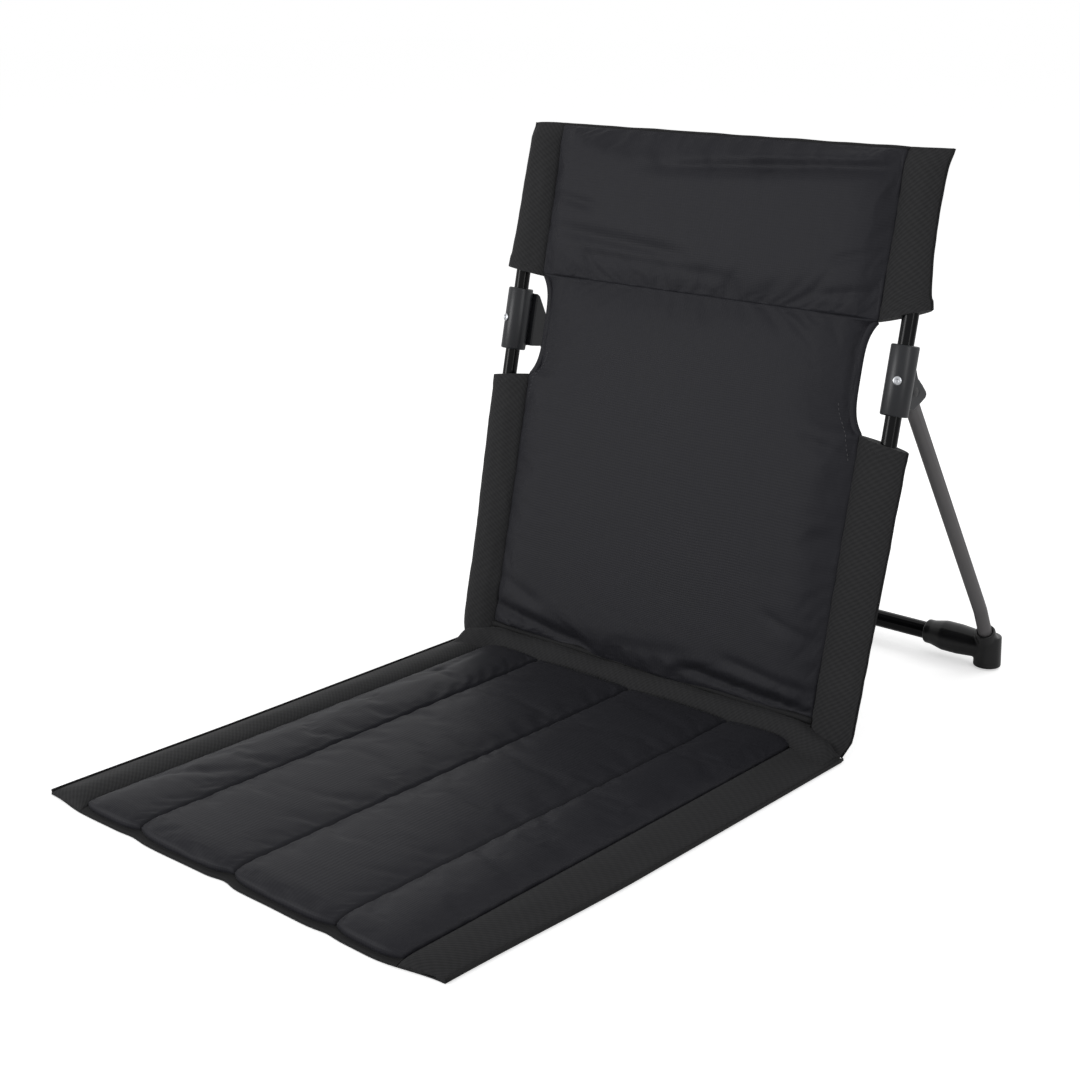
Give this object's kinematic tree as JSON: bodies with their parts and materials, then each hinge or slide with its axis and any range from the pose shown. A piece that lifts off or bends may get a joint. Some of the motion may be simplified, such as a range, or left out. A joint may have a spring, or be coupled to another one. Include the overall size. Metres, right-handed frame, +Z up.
{
  "type": "folding camping chair",
  "caption": "Low floor-type folding camping chair: quilted seat mat, padded back on a tube frame with side hinges, and a folding rear leg.",
  "frame": {"origin": "floor point under the middle of the chair's footprint", "axes": "+Z up, the sitter faces -Y, +X to the right of a viewer in front who looks along +Y"},
  "size_m": [0.4364, 0.7376, 0.4735],
  "materials": {
    "gloss_steel": "gloss black enamel",
    "grey_steel": "satin grey powder coat",
    "hinge_nylon": "satin dark grey, moulded",
    "foot_nylon": "semi-gloss black, moulded",
    "hidden_plastic": "plain black, moulded",
    "bright_rivet": "bright",
    "pin_steel": "dark",
    "smooth_cloth": "smooth black polyester with a faint sheen",
    "oxford_cloth": "matt black oxford weave",
    "binding_tape": "black woven tape",
    "foam": "grey foam"
  },
  "bodies": {
    "back": {"back_foam": "foam", "back_panel": "smooth_cloth", "back_rear_cloth": "oxford_cloth", "back_tube_left": "gloss_steel", "back_tube_right": "gloss_steel", "base_cross_tube": "gloss_steel", "base_elbow_left": "hidden_plastic", "base_elbow_right": "hidden_plastic", "base_sleeve": "oxford_cloth", "cutout_binding_left": "binding_tape", "cutout_binding_right": "binding_tape", "headrest_foam": "foam", "headrest_panel": "smooth_cloth", "hinge_sleeve_left": "hinge_nylon", "hinge_sleeve_right": "hinge_nylon", "lower_sleeve_left": "oxford_cloth", "lower_sleeve_right": "oxford_cloth", "pivot_pin_left": "pin_steel", "pivot_pin_right": "pin_steel", "sleeve_rivet_left": "bright_rivet", "sleeve_rivet_right": "bright_rivet", "tube_cap_left": "hidden_plastic", "tube_cap_right": "hidden_plastic", "upper_sleeve_left": "oxford_cloth", "upper_sleeve_right": "oxford_cloth"},
    "rear_leg": {"foot_elbow_left": "foot_nylon", "foot_elbow_right": "foot_nylon", "leg_cross_tube": "gloss_steel", "leg_tube_left": "grey_steel", "leg_tube_right": "grey_steel"},
    "seat": {"seat_band_left": "oxford_cloth", "seat_band_right": "oxford_cloth", "seat_base_cloth": "oxford_cloth", "seat_foam_1": "foam", "seat_foam_2": "foam", "seat_foam_3": "foam", "seat_foam_4": "foam", "seat_front_hem": "oxford_cloth", "seat_quilt": "smooth_cloth", "seat_rear_band": "oxford_cloth"}
  },
  "joints": [
    {"name": "seat_fold", "type": "hinge", "parent": "back", "child": "seat", "pos_m": [0, 0.08384, 0.0155], "axis": [-1, 0, 0], "range_deg": [0, 100]},
    {"name": "leg_fold", "type": "hinge", "parent": "back", "child": "rear_leg", "pos_m": [0, 0.18093, 0.2848], "axis": [-1, 0, 0], "range_deg": [0, 46]}
  ]
}
